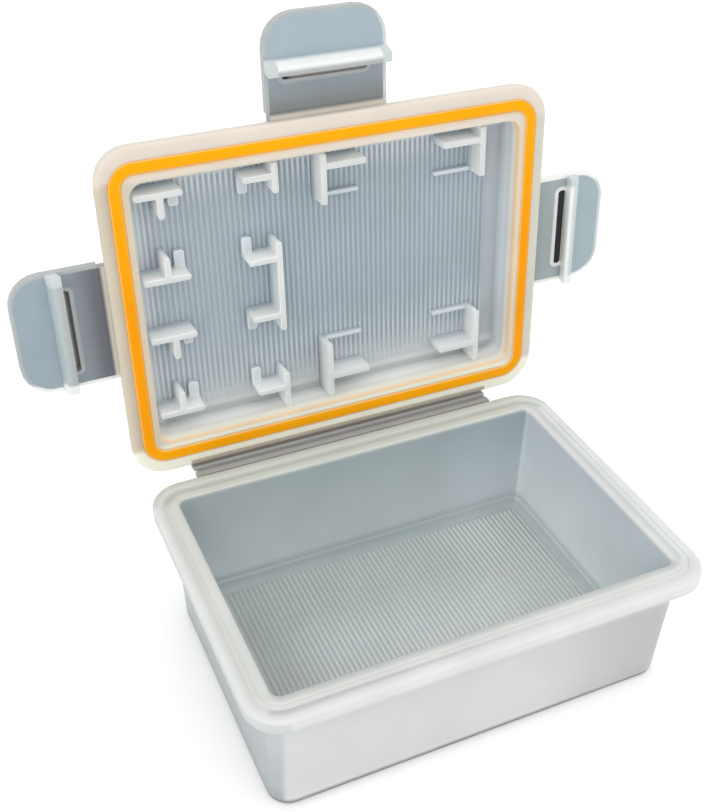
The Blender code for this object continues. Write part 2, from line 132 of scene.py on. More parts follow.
# The thin dark web in a slot, a sheet put there as painted shade: its thickness, and the level of its outer
# side
SHADE_THICKNESS = 0.08
SHADE_DEPTHS = {"front": -0.15, "left": LATCH_BACK, "right": -0.15}

# A latch's strip against its film's solid: how many times as wide, as long and as thick it is
FILM_STRETCH = (1.033, 1.1, 1.0)

# A flap's outline is taken this far back past its root, so that it has no corners there
PAST_ROOT = 20.0

# The painted black shadow at one end of a slot: where it starts, either way along X, and the length of its
# soft edge
DARK_START = 4.95
DARK_FADE = 0.8

# The raised edge round a slot in section: how far out from the slot, and how high over the flap's face
SLOT_EDGE = ((-0.02, -0.3), (-0.02, 0.08), (0.08, 0.14), (0.32, 0.14), (0.45, -0.02))

# Painted light on a latch's edges, bar and knobs: much, some or little of it, by where they face
LIT, HALF_LIT, DIM = "#f2f4f1", "#ced5d6", "#b4b9b9"

# A latch's colours, with painted light and shade that differ from latch to latch. slot_end is where along Y
# the painted shade in its slot gives way to a painted lit flank, and dark_end is the end of the slot that
# is painted black: -1 for the low one, 1 for the high one, 0 for neither
Look = namedtuple("Look", (
    "root near far tip edge_low edge_high frame bar catch knob_low knob_high slot slot_end dark_end"
))
LATCH_LOOKS = {
    "front": Look(
        root="#868a8c", near="#94a0a6", far="#a8b8c2", tip=DIM, edge_low=DIM, edge_high=HALF_LIT,
        frame=DIM, bar=LIT, catch=DIM, knob_low=HALF_LIT, knob_high=HALF_LIT,
        slot="#a89e94", slot_end=4.85, dark_end=-1,
    ),
    "left": Look(
        root="#6e7078", near="#8c959c", far="#9cabb4", tip=DIM, edge_low=LIT, edge_high=DIM,
        frame=DIM, bar="#b9c3c5", catch=DIM, knob_low=LIT, knob_high=HALF_LIT,
        slot="#7c7c79", slot_end=4.85, dark_end=1,
    ),
    "right": Look(
        root="#98a3a6", near="#a8b0b2", far="#a4b6bc", tip=HALF_LIT, edge_low=LIT, edge_high=LIT,
        frame=LIT, bar=HALF_LIT, catch=LIT, knob_low=HALF_LIT, knob_high=LIT,
        slot="#2b2e32", slot_end=9.0, dark_end=0,
    ),
}

# A moulded face: its clouds and grains for each millimetre, and how much they change it
CLOUDS = 0.11
CLOUD_CHANGE = 0.035
GRAINS = 4.0
GRAIN_STRENGTH = 0.25
SHEEN_CHANGE = 0.08

# Light: the room's level away from the camera, and soft square lamps (place and size in metres, watts),
# which face a point that is in metres too
ROOM_LIGHT = 0.92
FLOOR_LIFT = 0.25
LAMPS = (
    ("overhead", (0.05, -0.15, 0.60), 0.50, 0.35),
    ("front", (-0.30, -0.55, 0.35), 0.45, 0.6),
)
LAMP_AIM = Vector((0.0, 0.0, 0.03))

# The floor, which lies a little under the case so that their faces don't meet
FLOOR_SIZE = 4000.0
FLOOR_DROP = 0.02

# The camera's place, its turn in degrees and its lens
CAMERA_PLACE = Vector((-58.18, -106.23, 129.64))
CAMERA_TURN = (54.264, -0.500, -23.887)
CAMERA_LENS = 50.62

HINGE_FRAME = Matrix.Translation(HINGE_AXIS) @ Matrix.Rotation(LID_TURN, 4, "X")
LID_FRAME = HINGE_FRAME @ Matrix.Translation(LID_CENTRE)
TRAY_FRAME = Matrix.Identity(4)


def latch_frame(side):
    """Where a latch's own frame lies at rest, in millimetres."""
    place, turn, _ = LATCH_PLACES[side]
    about_axis = Matrix.Translation(place) @ Matrix.Rotation(turn, 4, "Z")
    return HINGE_FRAME @ about_axis


def linear(code):
    """An sRGB hex colour as linear red, green, blue and alpha."""
    values = [int(code[index:index + 2], 16) / 255 for index in (1, 3, 5)]
    return [v / 12.92 if v <= 0.04045 else ((v + 0.055) / 1.055) ** 2.4 for v in values] + [1.0]


def wire(tree, kind, inputs=(), **settings):
    """Add one node with its settings, set or link its inputs, and give back its outputs."""
    made = tree.nodes.new(kind)
    for name, value in settings.items():
        setattr(made, name, value)
    for name, value in inputs.items() if isinstance(inputs, dict) else enumerate(inputs):
        if isinstance(value, bpy.types.NodeSocket):
            tree.links.new(value, made.inputs[name])
        else:
            made.inputs[name].default_value = value
    return made.outputs


def place_in(tree, place):
    """The surface point in a frame given in millimetres: its X, Y and Z, and the whole point."""
    local = place.inverted()
    point = wire(tree, "ShaderNodeMapping", {
        "Vector": wire(tree, "ShaderNodeTexCoord")["Object"],
        "Location": local.to_translation(),
        "Rotation": local.to_euler(),
        "Scale": (1 / MM, 1 / MM, 1 / MM),
    })[0]
    return [*wire(tree, "ShaderNodeSeparateXYZ", [point])[:3], point]


def outline_distance(tree, x, y, outline, centre=(0.0, 0.0)):
    """Distance outside a rounded rectangle round a centre, negative inside it."""
    half_x, half_y, corner = outline
    flat = wire(tree, "ShaderNodeCombineXYZ", [x, y])[0]
    moved = wire(tree, "ShaderNodeVectorMath", [flat, (*centre, 0.0)], operation="SUBTRACT")[0]
    size = wire(tree, "ShaderNodeVectorMath", [moved], operation="ABSOLUTE")[0]
    straight = (half_x - corner, half_y - corner, 0.0)
    past = wire(tree, "ShaderNodeVectorMath", [size, straight], operation="SUBTRACT")[0]
    outer = wire(tree, "ShaderNodeVectorMath", [past, (0.0, 0.0, 0.0)], operation="MAXIMUM")[0]
    away = wire(tree, "ShaderNodeVectorMath", [outer], operation="LENGTH")["Value"]
    past_x, past_y = wire(tree, "ShaderNodeSeparateXYZ", [past])[:2]
    nearest = wire(tree, "ShaderNodeMath", [past_x, past_y], operation="MAXIMUM")[0]
    inside = wire(tree, "ShaderNodeMath", [nearest, 0.0], operation="MINIMUM")[0]
    total = wire(tree, "ShaderNodeMath", [away, inside], operation="ADD")[0]
    return wire(tree, "ShaderNodeMath", [total, corner], operation="SUBTRACT")[0]


def mask(tree, value, *edges):
    """A soft mask along a value: two edges make a step, and four make a band between them."""
    share = 1.0
    pairs = ((edges[0], edges[1]), (edges[-1], edges[-2]))
    for off, full in pairs[:len(edges) // 2]:
        step = wire(tree, "ShaderNodeMapRange", {
            "Value": value, "From Min": off, "From Max": full,
        }, interpolation_type="SMOOTHSTEP")[0]
        share = wire(tree, "ShaderNodeMath", [step, share], operation="MULTIPLY")[0]
    return share


def colour_along(tree, value, stops):
    """The colour at a value in millimetres, between sRGB colours that are given at some values."""
    places = sorted(stops)
    low, high = places[0], places[-1]
    share = wire(tree, "ShaderNodeMapRange", {"Value": value, "From Min": low, "From Max": high})[0]
    colour = wire(tree, "ShaderNodeValToRGB", [share])[0]
    elements = colour.node.color_ramp.elements
    for place in places[1:-1]:
        elements.new((place - low) / (high - low))
    for element, place in zip(elements, places):
        element.color = linear(stops[place])
    return colour


def painted(tree, base, *layers):
    """Lay colours over a base in turn. A layer is its colour, and the masks whose product shows it."""
    for colour, *masks in layers:
        share = masks[0]
        for other in masks[1:]:
            share = wire(tree, "ShaderNodeMath", [share, other], operation="MULTIPLY")[0]
        both = {0: share}
        for socket, value in ((6, base), (7, colour)):
            both[socket] = linear(value) if isinstance(value, str) else value
        base = wire(tree, "ShaderNodeMix", both, data_type="RGBA")[2]
    return base


def new_material(name):
    """An empty material with its tree and its Principled shader."""
    material = bpy.data.materials.new(name)
    material.use_nodes = True
    return material, material.node_tree, material.node_tree.nodes["Principled BSDF"]


def satin(tree, shader, point, colour, roughness, grain=0.02):
    """Satin face of a moulded piece: faint clouding, an uneven sheen and a fine grain.

    Clouding is about 9 mm across. The grain is 0.25 mm, which is coarser than the real spark-eroded
    mould face, so that it shows.
    """
    clouds = wire(tree, "ShaderNodeTexNoise", {"Vector": point, "Scale": CLOUDS, "Detail": 2.0})[0]
    cloudy = wire(tree, "ShaderNodeMapRange", {
        "Value": clouds, "From Min": 0.3, "From Max": 0.7,
        "To Min": 1.0 - CLOUD_CHANGE, "To Max": 1.0 + CLOUD_CHANGE,
    })[0]
    tinted = wire(tree, "ShaderNodeVectorMath", {0: colour, "Scale": cloudy}, operation="SCALE")[0]
    fine = wire(tree, "ShaderNodeTexNoise", {"Vector": point, "Scale": GRAINS, "Detail": 3.0})[0]
    sheen = wire(tree, "ShaderNodeMapRange", {
        "Value": fine, "To Min": roughness - SHEEN_CHANGE, "To Max": roughness + SHEEN_CHANGE,
    })[0]
    bump = wire(tree, "ShaderNodeBump", {
        "Strength": GRAIN_STRENGTH, "Distance": grain * MM, "Height": fine,
    })[0]
    tree.links.new(tinted, shader.inputs["Base Color"])
    tree.links.new(sheen, shader.inputs["Roughness"])
    tree.links.new(bump, shader.inputs["Normal"])


def let_light_through(shader, share=0.5, depth=1.2):
    """Polypropylene is milky: light enters it, spreads over about a wall's thickness and comes out."""
    shader.inputs["IOR"].default_value = 1.49
    shader.inputs["Subsurface Weight"].default_value = share
    shader.inputs["Subsurface Radius"].default_value = (1.0, 1.0, 0.95)
    shader.inputs["Subsurface Scale"].default_value = depth * MM


def flange_colour(tree, x, y, mouth):
    """The flange's top from the mouth out: grey edge, pale bead, groove in painted shade and pale brim."""
    left = colour_along(tree, mouth, {
        0.0: "#c8cbc9", 0.5: "#d9dbd8", 2.0: "#dddfdc", 2.6: "#d6d8d6", 3.2: "#dfe2e0",
    })
    right = colour_along(tree, mouth, {0.0: "#e4e8e7", 1.2: "#cdd0cf", 1.9: "#e5e8e7", 3.6: "#e0e2e1"})
    front = colour_along(tree, mouth, {
        0.4: "#c2c5c4", 1.3: "#dddfdc", 2.0: "#e2e4e2", 2.6: "#d9dbda", 3.4: "#e0e1e2",
    })
    back = colour_along(tree, mouth, {1.0: "#d3d7ce", 1.7: "#bcc2bb", 2.7: "#dbe2dd", 4.1: "#c1c5c1"})
    # Each side's ramp holds its own painted light and shade, and puts the groove's painted shade where it
    # shows from that side
    return painted(
        tree, left,
        (right, mask(tree, x, -8.0, 8.0)),
        (front, mask(tree, y, -18.5, -20.3)),
        (back, mask(tree, y, 18.5, 20.3)),
    )


def inner_wall(tree, z, foot, low, high, brim):
    """A wall of the tray from its round foot, painted as a highlight line in a band of painted shade, to its
    brim.
    """
    return colour_along(tree, z, {2.9: foot, 3.35: low, 3.8: foot, 5.0: low, 20.4: high, 21.0: brim})


def tray_inside(tree, x, y, z):
    """Inner walls and floor between the ribs: blue-grey, partly painted shade as little light comes back
    from them.
    """
    left = inner_wall(tree, z, foot="#b9c2c3", low="#d5dcde", high="#a9b3b6", brim="#b8bcb7")
    middle = inner_wall(tree, z, foot="#b2bcbd", low="#c7cfd1", high="#a5b0b3", brim="#c2c7c2")
    right = inner_wall(tree, z, foot="#c0c8cb", low="#d0d7db", high="#a2afb5", brim="#c4c9c6")
    side = inner_wall(tree, z, foot="#ced5d7", low="#ebf0f0", high="#ced7dd", brim="#f0f1f0")
    floor = colour_along(tree, y, {0.0: "#cbd3d3", 10.0: "#bbc2c1"})
    past_corner = wire(tree, "ShaderNodeMath", [x, y], operation="SUBTRACT")[0]
    middle_of_corner = MOUTH[0] - MOUTH[1]
    on_floor = mask(tree, z, 2.0, 1.75)
    # Painted light and shade: the columns across the back wall and the paler right wall make up for how
    # light falls in the tray, and the floor is painted lighter to the front and darker by the left wall
    return painted(
        tree, left,
        (middle, mask(tree, x, -22.0, -4.0)),
        (right, mask(tree, x, 8.0, 21.0)),
        (side, mask(tree, past_corner, middle_of_corner - 0.2, middle_of_corner + 0.4)),
        (floor, on_floor),
        ("#b9c0be", on_floor, mask(tree, x, -12.0, -24.0)),
    )


def tray_plastic():
    """Natural polypropylene, injection moulded, which is milky where it is thick or lit from behind."""
    material, tree, shader = new_material("natural polypropylene, moulded tray")
    x, y, z, point = place_in(tree, TRAY_FRAME)
    mouth = outline_distance(tree, x, y, MOUTH)
    # Painted light and shade on the outside walls: a painted shadow line at the foot, a painted highlight
    # just over it and painted shade under the flange
    outside = colour_along(tree, z, {
        0.4: "#525353", 0.7: "#909190", 1.0: "#bcbdbc", 1.4: "#e2e3e1", 2.2: "#dcdddb", 14.0: "#d5d6d8",
        19.2: "#cfd1d3", 19.9: "#e0e1e2",
    })
    # The left wall is painted in shade, with a painted shadow at its foot
    left = colour_along(tree, z, {
        0.4: "#4c5052", 1.1: "#a8aeb0", 4.0: "#b5bec0", 19.2: "#c9cdce", 20.0: "#d5d7d7",
    })
    colour = painted(
        tree, outside,
        (left, mask(tree, x, -28.2, -29.2)),
        # Painted shade on the right end of the front wall
        ("#bdbfbe", mask(tree, x, 6.0, 28.0), mask(tree, z, 17.0, 14.0), mask(tree, z, 0.8, 1.4)),
        (flange_colour(tree, x, y, mouth), mask(tree, z, 20.4, 21.0)),
        (tray_inside(tree, x, y, z), mask(tree, mouth, 0.25, -0.02), mask(tree, z, 21.18, 21.0)),
    )
    satin(tree, shader, point, colour, 0.42)
    let_light_through(shader)
    return material


def rib_plastic(name, place, base, *ends):
    """The ribs' crests are milkier than the floor between them, partly as a painted highlight on them.

    ends paint light and shade towards an end or a side: the colour, which coordinate, where it starts and is
    full.
    """
    material, tree, shader = new_material(name)
    *sides, _, point = place_in(tree, place)
    layers = [(colour, mask(tree, sides[way], start, full)) for colour, way, start, full in ends]
    satin(tree, shader, point, painted(tree, base, *layers), 0.4)
    let_light_through(shader, 0.3, 0.5)
    return material


def lid_rim(tree, x, y):
    """The rim: cream, with painted light and shade, and a painted orange tint beside the gasket."""
    gasket = outline_distance(tree, x, y, GASKET_LINE)
    # Painted darker at its left and lighter at its right, as light falls
    across = colour_along(tree, x, {-31.0: "#d6cbb7", -27.0: "#ddd4c4", 27.0: "#efe5d2", 31.0: "#d5d3c5"})
    return painted(
        tree, across,
        # Painted brightest along its low side, where the most light falls
        ("#faf7e4", mask(tree, y, -20.0, -21.0)),
        ("#e6dbcf", mask(tree, y, 19.5, 21.0)),
        # Painted browner shade where the strap meets it
        ("#c0b5a5", mask(tree, y, -23.95, -24.35), mask(tree, x, -25.3, -25.0, 25.0, 25.3)),
        # A painted orange glow from the gasket beside it
        ("#f6cd98", mask(tree, gasket, -1.4, -0.9, 0.8, 1.2)),
    )


def lid_floor(tree, x, y):
    """The floor between the ribs: blue-grey, painted lighter towards its walls as painted light where shade
    falls.
    """
    return painted(
        tree, "#a4b0b8",
        ("#b0bac1", mask(tree, x, -8.0, -16.0)),
        ("#c2c6c7", mask(tree, y, -12.5, -15.5)),
        ("#d3d5d4", mask(tree, y, -15.6, -16.4)),
        ("#b9bdbe", mask(tree, y, -18.3, -19.0)),
        ("#bcc2c6", mask(tree, x, 26.5, 26.8), mask(tree, y, -17.9, -17.0)),
        ("#dde3e6", mask(tree, x, -26.6, -28.0)),
        ("#ecefee", mask(tree, y, 17.5, 18.8)),
    )


def lid_plastic():
    """Natural polypropylene: creamy in the thick rim beside the gasket, blue-grey on the thin floor."""
    material, tree, shader = new_material("natural polypropylene, moulded lid")
    x, y, z, point = place_in(tree, LID_FRAME)
    lip = outline_distance(tree, x, y, LIP_LINE)
    low_side = mask(tree, y, -18.6, -19.3)
    right_side = mask(tree, x, 27.8, 28.6)
    # The walls' colour up from the floor, painted orange at the top by the gasket's glow
    side = colour_along(tree, z, {
        -5.0: "#c3cdd4", -3.0: "#e2e8ea", -2.0: "#dedfe0", -1.2: "#faf4ea", 0.0: "#f8cc98",
    })
    # The low side's wall faces up, and is painted lighter as the lit one
    low = colour_along(tree, z, {
        -5.0: "#cdd0d2", -3.0: "#f0f1ee", -1.8: "#ebe8e1", -1.2: "#f8f6ea", 0.0: "#f8e6ca",
    })
    inner = painted(tree, side, (low, low_side))
    back = colour_along(tree, z, {-6.3: "#cfd5d8", -3.0: "#d5d6d3", -2.4: "#dfd9cb"})
    hollow = mask(tree, lip, 0.12, -0.02)
    near_rim = mask(tree, z, -0.9, -0.45)
    # A painted highlight along the lip on its low and right sides
    lip_highlight_colour = "#f4cba0"
    lip_highlight_mask = mask(tree, lip, -0.2, 0.0, 0.2, 0.45)
    colour = painted(
        tree, back,
        (lid_rim(tree, x, y), near_rim),
        (lip_highlight_colour, lip_highlight_mask, near_rim, low_side),
        (lip_highlight_colour, lip_highlight_mask, near_rim, right_side),
        (inner, hollow, mask(tree, z, -5.6, -5.3, -0.2, -0.02)),
        (lid_floor(tree, x, y), hollow, mask(tree, z, -5.6, -5.3, -4.85, -4.5)),
    )
    satin(tree, shader, point, colour, 0.42)
    let_light_through(shader)
    return material


def latch_plastic(side):
    """Natural polypropylene: a thin blue-grey flap in painted shade at its film, painted light on edge and
    hook bar.
    """
    material, tree, shader = new_material("natural polypropylene, moulded latch, " + side)
    length = LATCH_PLACES[side][2]
    look = LATCH_LOOKS[side]
    x, y, z, point = place_in(tree, latch_frame(side))
    far = length - LATCH_ROOT
    outline = (LATCH_HALF, (far + PAST_ROOT) / 2, LATCH_CORNER)
    centre = (0.0, (far - PAST_ROOT) / 2)
    edge = mask(tree, outline_distance(tree, x, y, outline, centre), -0.6, -0.4)
    slot = outline_distance(tree, x, y, (*SLOT_HALF, SLOT_CORNER), SLOT_CENTRE)
    flap = colour_along(tree, y, {
        -0.3: "#dcd6cb", 0.1: look.root, 1.2: look.root, 3.6: look.near, 7.5: look.far,
    })
    bar = colour_along(tree, y, {
        5.3: look.catch, 5.9: look.catch, 6.4: look.bar, 7.1: look.bar, 7.6: look.far,
    })
    raised = mask(tree, z, 0.2, 0.9)
    # Painted light and shade from the latch's Look: its edges, slot frame, hook bar with its catch, and
    # knobs
    colour = painted(
        tree, flap,
        (look.tip, edge),
        (look.edge_low, edge, mask(tree, x, -6.8, -8.0)),
        (look.edge_high, edge, mask(tree, x, 6.8, 8.0)),
        (look.frame, mask(tree, slot, 0.7, 0.45)),
        (bar, raised),
        (look.knob_low, raised, mask(tree, x, -7.3, -7.8)),
        (look.knob_high, raised, mask(tree, x, 7.3, 7.8)),
    )
    satin(tree, shader, point, colour, 0.36)
    let_light_through(shader, 0.3, 0.6)
    return material


def holder_plastic():
    """Natural polypropylene: thin upright walls with a painted highlight on their edges, and low grey pads.
    """
    material, tree, shader = new_material("natural polypropylene, card holders")
    z, point = place_in(tree, LID_FRAME)[2:]
    edge = wire(tree, "ShaderNodeAttribute", attribute_name="round_edge")["Fac"]
    # Darker towards the floor, painted light up the sides of the walls where shade falls, and greyer on top
    wall = colour_along(tree, z, {
        -5.0: "#c8d0d4", -3.85: "#d6dcdf", -3.4: "#e6eaea", -1.3: "#f3f3f1", -1.1: "#dfe2e1",
    })
    # A painted highlight on the round edges
    satin(tree, shader, point, painted(tree, wall, ("#fafaf7", edge)), 0.36)
    let_light_through(shader, 0.8, 0.8)
    return material


def strap_plastic():
    """Thin polypropylene at the hinge, brownish grey as it lets most light pass, and in painted shade."""
    material, tree, shader = new_material("natural polypropylene, hinge straps and film")
    y, _, point = place_in(tree, TRAY_FRAME)[1:]
    # Bands of painted shade across the straps, with painted highlight lines between them near the film
    colour = colour_along(tree, y, {
        25.1: "#a6a8a6", 25.4: "#929392", 25.8: "#929392", 26.1: "#a8aaaa", 26.5: "#858380", 27.0: "#a3a19d",
        27.5: "#b2ada6",
    })
    satin(tree, shader, point, colour, 0.35)
    let_light_through(shader, 0.2, 0.4)
    return material


def silicone():
    """Moulded silicone rubber: a saturated orange with a satin face, painted yellower where more light
    falls.
    """
    material, tree, shader = new_material("orange silicone rubber, moulded")
    x, y, _, point = place_in(tree, LID_FRAME)
    across = outline_distance(tree, x, y, GASKET_LINE)
    colour = painted(
        tree, colour_along(tree, y, {-22.5: "#ffab03", -20.0: "#fea303", 0.0: "#fc9f02", 22.5: "#ffb102"}),
        # A painted pale glow along both edges of the gasket
        ("#fdc97e", mask(tree, across, -0.62, -0.8)),
        ("#fdc97e", mask(tree, across, 0.62, 0.8)),
    )
    satin(tree, shader, point, colour, 0.5, 0.03)
    shader.inputs["IOR"].default_value = 1.41
    shader.inputs["Specular IOR Level"].default_value = 0.15
    return material


def slot_dark(side):
    """Painted shade for the dark seen through a latch's slot, a painted lit flank by it; painted dark from
    behind.
    """
    look = LATCH_LOOKS[side]
    material, tree, shader = new_material("dark behind the slot, " + side)
    x, y, z, _ = place_in(tree, latch_frame(side))
    start = look.dark_end * DARK_START
    spot = mask(tree, x, start, start + look.dark_end * DARK_FADE) if look.dark_end else 0.0
    middle = SHADE_DEPTHS[side] + SHADE_THICKNESS / 2
    # Painted light on the flank past slot_end, a painted black shadow at the dark end, and plain painted
    # dark on the outer side
    colour = painted(
        tree, look.slot,
        ("#b4b5b3", mask(tree, y, look.slot_end - 0.1, look.slot_end + 0.1)),
        ("#1c1b1b", spot),
        ("#4a4e50", mask(tree, z, middle + 0.01, middle - 0.01)),
    )
    tree.links.new(colour, shader.inputs["Base Color"])
    shader.inputs["Roughness"].default_value = 0.8
    return material


def own_mesh(bm, name, material, place=TRAY_FRAME):
    """A new piece from a bmesh in millimetres in a given frame, with its place in its mesh."""
    bm.transform(place)
    bmesh.ops.scale(bm, vec=(MM, MM, MM), verts=bm.verts)
    bmesh.ops.recalc_face_normals(bm, faces=bm.faces)
    mesh = bpy.data.meshes.new(name)
    bm.to_mesh(mesh)
    bm.free()
    mesh.materials.append(material)
    mesh.shade_smooth()
    mesh.set_sharp_from_angle(angle=SMOOTH)
    piece = bpy.data.objects.new(name, mesh)
    bpy.context.scene.collection.objects.link(piece)
    return piece


def from_node(node):
    """A merged copy of a CAD node's mesh in millimetres, with its flat faces whole."""
    bm = bmesh.new()
    bm.from_mesh(frame["nodes"][node].data)
    bmesh.ops.scale(bm, vec=(1 / MM, 1 / MM, 1 / MM), verts=bm.verts)
    bmesh.ops.remove_doubles(bm, verts=bm.verts, dist=SAME_POINT)
    bmesh.ops.dissolve_limit(bm, angle_limit=FLAT, verts=bm.verts, edges=bm.edges)
    return bm


def round_edges(bm, width, plain=None):
    """Round the sharp edges a little, as a mould does, and mark the round faces.

    plain tells which points belong to edges that stay sharp.
    """
    marks = bm.faces.layers.float.new("round_edge")
    sharp = []
    for edge in bm.edges:
        left_out = plain and all(plain(vert.co) for vert in edge.verts)
        if len(edge.link_faces) == 2 and edge.calc_face_angle() > SHARP and not left_out:
            sharp.append(edge)
    made = bmesh.ops.bevel(
        bm, geom=sharp, offset=width, segments=2, profile=0.5, affect="EDGES", clamp_overlap=True,
    )
    for face in made["faces"]:
        face[marks] = 1.0


def stand_for(node, material, edge=0.0, change=None, plain=None):
    """A finer piece in place of a CAD node, on the same body."""
    bm = from_node(node)
    if change:
        change(bm)
    if edge:
        round_edges(bm, edge, plain)
    piece = own_mesh(bm, node + "_finish", material)
    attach(piece, frame["nodes"][node]["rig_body"])
    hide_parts(node)


def press_into_groove(bm):
    """Let the soft gasket meet its groove's walls, which its solid stays clear of."""
    to_lid = LID_FRAME.inverted()
    straight = Vector((GASKET_LINE[0] - GASKET_LINE[2], GASKET_LINE[1] - GASKET_LINE[2]))
    for vert in bm.verts:
        local = to_lid @ vert.co
        past = Vector((abs(local.x) - straight.x, abs(local.y) - straight.y))
        if min(past) < 0.0:
            way = Vector((1.0, 0.0)) if past.x > past.y else Vector((0.0, 1.0))
        else:
            way = past.normalized()
        outwards = 1.0 if past.dot(way) > GASKET_LINE[2] else -1.0
        local.x += way.x * outwards * GASKET_PRESS * math.copysign(1.0, local.x)
        local.y += way.y * outwards * GASKET_PRESS * math.copysign(1.0, local.y)
        vert.co = LID_FRAME @ local


def shape_holder(bm):
    """Round the upright corners of a holder's walls, and let its foot reach the lid's floor."""
    to_lid = LID_FRAME.inverted()
    up = LID_FRAME.to_3x3() @ Vector((0.0, 0.0, 1.0))
    corners = []
    for edge in bm.edges:
        way = (edge.verts[1].co - edge.verts[0].co).normalized()
        if edge.is_convex and edge.calc_face_angle() > SHARP and abs(way.dot(up)) > 0.99:
            corners.append(edge)
    bmesh.ops.bevel(
        bm, geom=corners, offset=HOLDER_ROUND, segments=4, profile=0.5, affect="EDGES", clamp_overlap=True,
    )
    for vert in bm.verts:
        local = to_lid @ vert.co
        if local.z < HOLDER_BOTTOM + NEAR:
            local.z = LID_FLOOR - SUNK
            vert.co = LID_FRAME @ local


def rib_tree():
    """Geometry nodes: a row of low round-topped ribs of a given count, pitch, length and section."""
    tree = bpy.data.node_groups.new("floor ribs", "GeometryNodeTree")
    tree.interface.new_socket("Geometry", in_out="OUTPUT", socket_type="NodeSocketGeometry")
    tree.interface.new_socket("Count", in_out="INPUT", socket_type="NodeSocketInt")
    for name in ("Pitch", "Length", "Width", "Height"):
        tree.interface.new_socket(name, in_out="INPUT", socket_type="NodeSocketFloat")
    tree.interface.new_socket("Material", in_out="INPUT", socket_type="NodeSocketMaterial")
    given = wire(tree, "NodeGroupInput")
    gaps = wire(tree, "ShaderNodeMath", [given["Count"], 1.0], operation="SUBTRACT")[0]
    spread = wire(tree, "ShaderNodeMath", [given["Pitch"], gaps], operation="MULTIPLY")[0]
    first = wire(tree, "ShaderNodeMath", [spread, -0.5], operation="MULTIPLY")[0]
    row = wire(tree, "GeometryNodeMeshLine", {
        "Count": given["Count"],
        "Start Location": wire(tree, "ShaderNodeCombineXYZ", [first])[0],
        "Offset": wire(tree, "ShaderNodeCombineXYZ", [given["Pitch"]])[0],
    }, mode="OFFSET")[0]
    back = wire(tree, "ShaderNodeMath", [given["Length"], 0.5], operation="MULTIPLY")[0]
    front = wire(tree, "ShaderNodeMath", [given["Length"], -0.5], operation="MULTIPLY")[0]
    spine = wire(tree, "GeometryNodeCurvePrimitiveLine", {
        "Start": wire(tree, "ShaderNodeCombineXYZ", {1: front})[0],
        "End": wire(tree, "ShaderNodeCombineXYZ", {1: back})[0],
    })[0]
    circle = wire(tree, "GeometryNodeCurvePrimitiveCircle", {"Resolution": 8, "Radius": 0.5})[0]
    rise = wire(tree, "ShaderNodeMath", [given["Height"], 2.0], operation="MULTIPLY")[0]
    size = wire(tree, "ShaderNodeCombineXYZ", [given["Width"], rise, 1.0])[0]
    section = wire(tree, "GeometryNodeTransform", {"Geometry": circle, "Scale": size})[0]
    rib = wire(tree, "GeometryNodeCurveToMesh", {
        "Curve": spine, "Profile Curve": section, "Fill Caps": True,
    })[0]
    placed = wire(tree, "GeometryNodeInstanceOnPoints", {"Points": row, "Instance": rib})[0]
    real = wire(tree, "GeometryNodeRealizeInstances", [placed])[0]
    dressed = wire(tree, "GeometryNodeSetMaterial", {"Geometry": real, "Material": given["Material"]})[0]
    wire(tree, "NodeGroupOutput", [dressed])
    return tree


def rib_field(name, tree, count, length, place, material, body):
    """A row of ribs on a floor, as one plain mesh on one body."""
    holder = bpy.data.objects.new(name + "_tree", bpy.data.meshes.new(name + "_tree"))
    bpy.context.scene.collection.objects.link(holder)
    modifier = holder.modifiers.new("ribs", "NODES")
    modifier.node_group = tree
    values = {
        "Count": count, "Pitch": RIB_PITCH, "Length": length, "Width": RIB_WIDTH, "Height": RIB_HEIGHT,
        "Material": material,
    }
    for item in tree.interface.items_tree:
        if item.in_out == "INPUT":
            modifier[item.identifier] = values[item.name]
    bpy.context.view_layer.update()
    evaluated = holder.evaluated_get(bpy.context.evaluated_depsgraph_get())
    mesh = bpy.data.meshes.new_from_object(evaluated)
    holder.modifiers.remove(modifier)
    bpy.data.objects.remove(holder)
    bm = bmesh.new()
    bm.from_mesh(mesh)
    bpy.data.meshes.remove(mesh)
    piece = own_mesh(bm, name, material, place)
    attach(piece, body)


def box_mesh(low, high):
    """A box between two corners."""
    bm = bmesh.new()
    bmesh.ops.create_cube(bm, size=1.0)
    middle = [(a + b) / 2 for a, b in zip(low, high)]
    bmesh.ops.scale(bm, vec=[b - a for a, b in zip(low, high)], verts=bm.verts)
    bmesh.ops.translate(bm, vec=middle, verts=bm.verts)
    return bm


def slot_ring_points(grow, height, steps=4):
    """The slot's outline, grown by a distance, at a height in the latch's frame."""
    corner = SLOT_CORNER + grow
    points = []
    for quarter, (side_x, side_y) in enumerate(((1, 1), (-1, 1), (-1, -1), (1, -1))):
        for step in range(steps + 1):
            angle = math.pi / 2 * (quarter + step / steps)
            x = SLOT_CENTRE[0] + side_x * (SLOT_HALF[0] - SLOT_CORNER) + corner * math.cos(angle)
            y = SLOT_CENTRE[1] + side_y * (SLOT_HALF[1] - SLOT_CORNER) + corner * math.sin(angle)
            points.append((x, y, height))
    return points


def slot_frame(side, material):
    """The low raised edge round a latch's slot."""
    bm = bmesh.new()
    loops = []
    for grow, rise in SLOT_EDGE:
        loops.append([bm.verts.new(point) for point in slot_ring_points(grow, LATCH_FACE + rise)])
    loops.append(loops[0])
    for first, second in zip(loops, loops[1:]):
        for index in range(len(first)):
            after = (index + 1) % len(first)
            bm.faces.new((first[index], first[after], second[after], second[index]))
    piece = own_mesh(bm, "slot_edge_" + side, material, latch_frame(side))
    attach(piece, side + "_latch_body")


